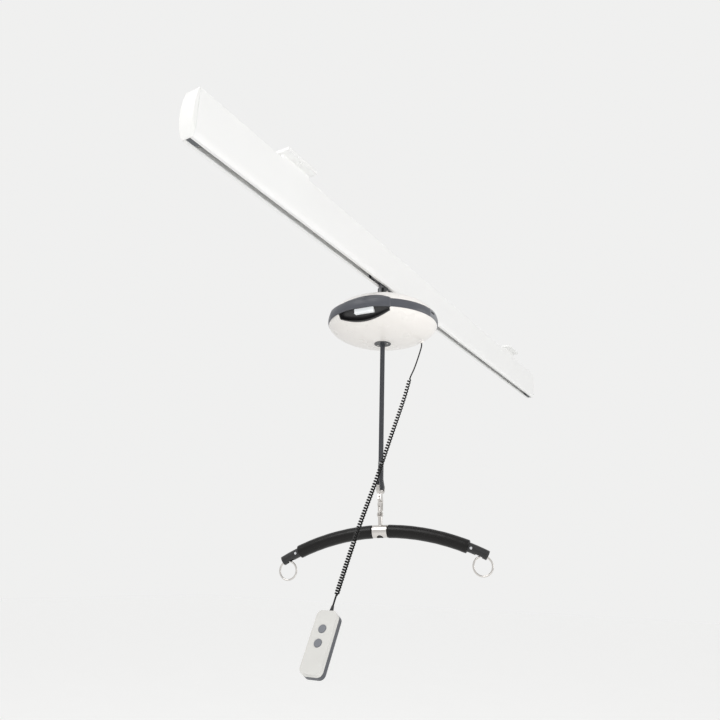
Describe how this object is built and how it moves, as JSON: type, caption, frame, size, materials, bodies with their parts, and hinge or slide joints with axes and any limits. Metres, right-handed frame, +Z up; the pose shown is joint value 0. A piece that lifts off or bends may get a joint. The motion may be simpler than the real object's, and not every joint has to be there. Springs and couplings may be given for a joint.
{
  "type": "ceiling track hoist",
  "caption": "Ceiling rail with a rolling trolley that carries a round hoist pod, its lifting strap, a snap hook, an arched padded spreader bar and a handset on a curly cord.",
  "frame": {"origin": "centre of the four hanger bolt holes, on the top faces of the hanger plates", "axes": "+X along the rail, away from the end with the handset; +Z up to the ceiling; +Y completes the right-handed set"},
  "size_m": [2.29, 0.5716, 1.1753],
  "materials": {
    "rail_white": "white powder coat",
    "cap_white": "smooth white plastic",
    "dark_rubber": "matt black rubber",
    "zinc_steel": "zinc-plated steel",
    "bright_steel": "bright polished steel",
    "wheel_plastic": "dark nylon",
    "bracket_grey": "dark grey coat",
    "pod_white": "glossy warm white plastic",
    "band_grey": "satin blue-grey plastic",
    "band_light": "satin lighter grey plastic",
    "recess_dark": "satin near-black plastic",
    "display_pale": "blank pale window",
    "plain_aluminium": "plain machined aluminium",
    "gear_brass": "machined brass",
    "battery_case": "dark moulded case",
    "board_green": "green board with dark parts",
    "strap_webbing": "dark grey woven webbing",
    "bar_black": "satin black coat",
    "foam_black": "matt black foam rubber",
    "cord_black": "black flexible cord",
    "handset_pale": "satin pale plastic",
    "button_grey": "satin grey plastic"
  },
  "bodies": {
    "track": {"rail": "rail_white", "end_cap_near": "cap_white", "end_cap_far": "cap_white", "end_stop_near": "dark_rubber", "end_stop_far": "dark_rubber", "hanger_near": "rail_white", "hanger_far": "rail_white", "hanger_screws": "zinc_steel"},
    "carriage": {"trolley_frame": "zinc_steel", "axles": "bright_steel", "trolley_bracket": "bracket_grey", "bracket_pin": "bright_steel", "upper_shell": "pod_white", "lower_shell": "pod_white", "band": "band_grey", "front_bezel": "band_grey", "band_end": "band_light", "recess_tray": "recess_dark", "display": "display_pale", "chassis": "plain_aluminium", "shaft_bushes": "gear_brass", "motor": "zinc_steel", "gearbox": "plain_aluminium", "battery_near": "battery_case", "battery_far": "battery_case", "circuit_board": "board_green", "strap": "strap_webbing", "strap_exit": "band_grey", "exit_screws": "bright_steel", "cord_gland": "pod_white", "cord_lead": "cord_black", "curly_cord": "cord_black", "cord_tail": "cord_black", "cord_relief": "cord_black", "handset_front": "handset_pale", "handset_back": "band_grey"},
    "near_left_wheel": {"wheel_near_left": "wheel_plastic"},
    "near_right_wheel": {"wheel_near_right": "wheel_plastic"},
    "far_left_wheel": {"wheel_far_left": "wheel_plastic"},
    "far_right_wheel": {"wheel_far_right": "wheel_plastic"},
    "strap_drum": {"drum": "plain_aluminium", "drum_gear": "gear_brass", "drum_shaft": "bright_steel", "strap_roll": "strap_webbing"},
    "motor_pinion": {"pinion": "bright_steel"},
    "fork": {"strap_end": "strap_webbing", "hook_fork": "bright_steel", "fork_pin": "bright_steel"},
    "hook": {"hook_body": "bright_steel", "gate_pin": "bright_steel"},
    "gate": {"hook_gate": "bright_steel"},
    "spreader": {"collar": "bright_steel", "bar_tube": "bar_black", "foam_left": "foam_black", "foam_right": "foam_black", "bar_rivets": "plain_aluminium"},
    "left_ring": {"ring_left": "bright_steel"},
    "right_ring": {"ring_right": "bright_steel"},
    "up_button": {"button_up": "button_grey"},
    "down_button": {"button_down": "button_grey"}
  },
  "joints": [
    {"name": "trolley_slide", "type": "slide", "parent": "track", "child": "carriage", "axis": [1, 0, 0], "range_m": [-0.69, 1.33]},
    {"name": "wheel_near_left_roll", "type": "hinge", "parent": "carriage", "child": "near_left_wheel", "pos_m": [-0.37, 0.01015, -0.1272], "axis": [0, 1, 0], "continuous": true},
    {"name": "wheel_near_right_roll", "type": "hinge", "parent": "carriage", "child": "near_right_wheel", "pos_m": [-0.37, -0.01015, -0.1272], "axis": [0, 1, 0], "continuous": true},
    {"name": "wheel_far_left_roll", "type": "hinge", "parent": "carriage", "child": "far_left_wheel", "pos_m": [-0.27, 0.01015, -0.1272], "axis": [0, 1, 0], "continuous": true},
    {"name": "wheel_far_right_roll", "type": "hinge", "parent": "carriage", "child": "far_right_wheel", "pos_m": [-0.27, -0.01015, -0.1272], "axis": [0, 1, 0], "continuous": true},
    {"name": "lift", "type": "slide", "parent": "carriage", "child": "fork", "axis": [0, 0, -1], "range_m": [-0.3, 1.2], "deforming": ["strap"]},
    {"name": "drum_spin", "type": "hinge", "parent": "carriage", "child": "strap_drum", "pos_m": [-0.32, 0.034, -0.262], "axis": [1, 0, 0], "continuous": true},
    {"name": "pinion_spin", "type": "hinge", "parent": "carriage", "child": "motor_pinion", "pos_m": [-0.32, 0.07747, -0.25035], "axis": [1, 0, 0], "continuous": true},
    {"name": "hook_swivel", "type": "hinge", "parent": "fork", "child": "hook", "pos_m": [-0.32, 0, -0.765], "axis": [0, 0, 1], "range_deg": [-25, 60]},
    {"name": "gate_open", "type": "hinge", "parent": "hook", "child": "gate", "pos_m": [-0.33164, -0.0029, -0.7805], "axis": [0.2419, -0.9703, 0], "range_deg": [0, 25], "stiffness_Nm_per_rad": 0.05, "springref_deg": -17.19},
    {"name": "bar_rock", "type": "hinge", "parent": "hook", "child": "spreader", "pos_m": [-0.32, 0, -0.8212], "axis": [0.9703, 0.2419, 0], "range_deg": [-9.6, 14.4]},
    {"name": "left_ring_swing", "type": "hinge", "parent": "spreader", "child": "left_ring", "pos_m": [-0.38354, 0.25484, -0.94794], "axis": [-0.2417, 0.9694, -0.0419], "range_deg": [-35, 35]},
    {"name": "right_ring_swing", "type": "hinge", "parent": "spreader", "child": "right_ring", "pos_m": [-0.25412, -0.26424, -0.92552], "axis": [-0.2417, 0.9694, -0.0419], "range_deg": [-35, 35]},
    {"name": "up_press", "type": "slide", "parent": "carriage", "child": "up_button", "axis": [0.8551, 0.0598, -0.515], "range_m": [0, 0.0015], "stiffness_N_per_m": 400, "springref_m": -0.0005},
    {"name": "down_press", "type": "slide", "parent": "carriage", "child": "down_button", "axis": [0.8551, 0.0598, -0.515], "range_m": [0, 0.0015], "stiffness_N_per_m": 400, "springref_m": -0.0005}
  ],
  "couplings": [
    {"joint": "wheel_near_left_roll", "follows": "trolley_slide", "rad_per_m": 71.429},
    {"joint": "wheel_near_right_roll", "follows": "trolley_slide", "rad_per_m": 71.429},
    {"joint": "wheel_far_left_roll", "follows": "trolley_slide", "rad_per_m": 71.429},
    {"joint": "wheel_far_right_roll", "follows": "trolley_slide", "rad_per_m": 71.429},
    {"joint": "drum_spin", "follows": "lift", "rad_per_m": 29.412},
    {"joint": "pinion_spin", "follows": "lift", "rad_per_m": -102.94}
  ]
}
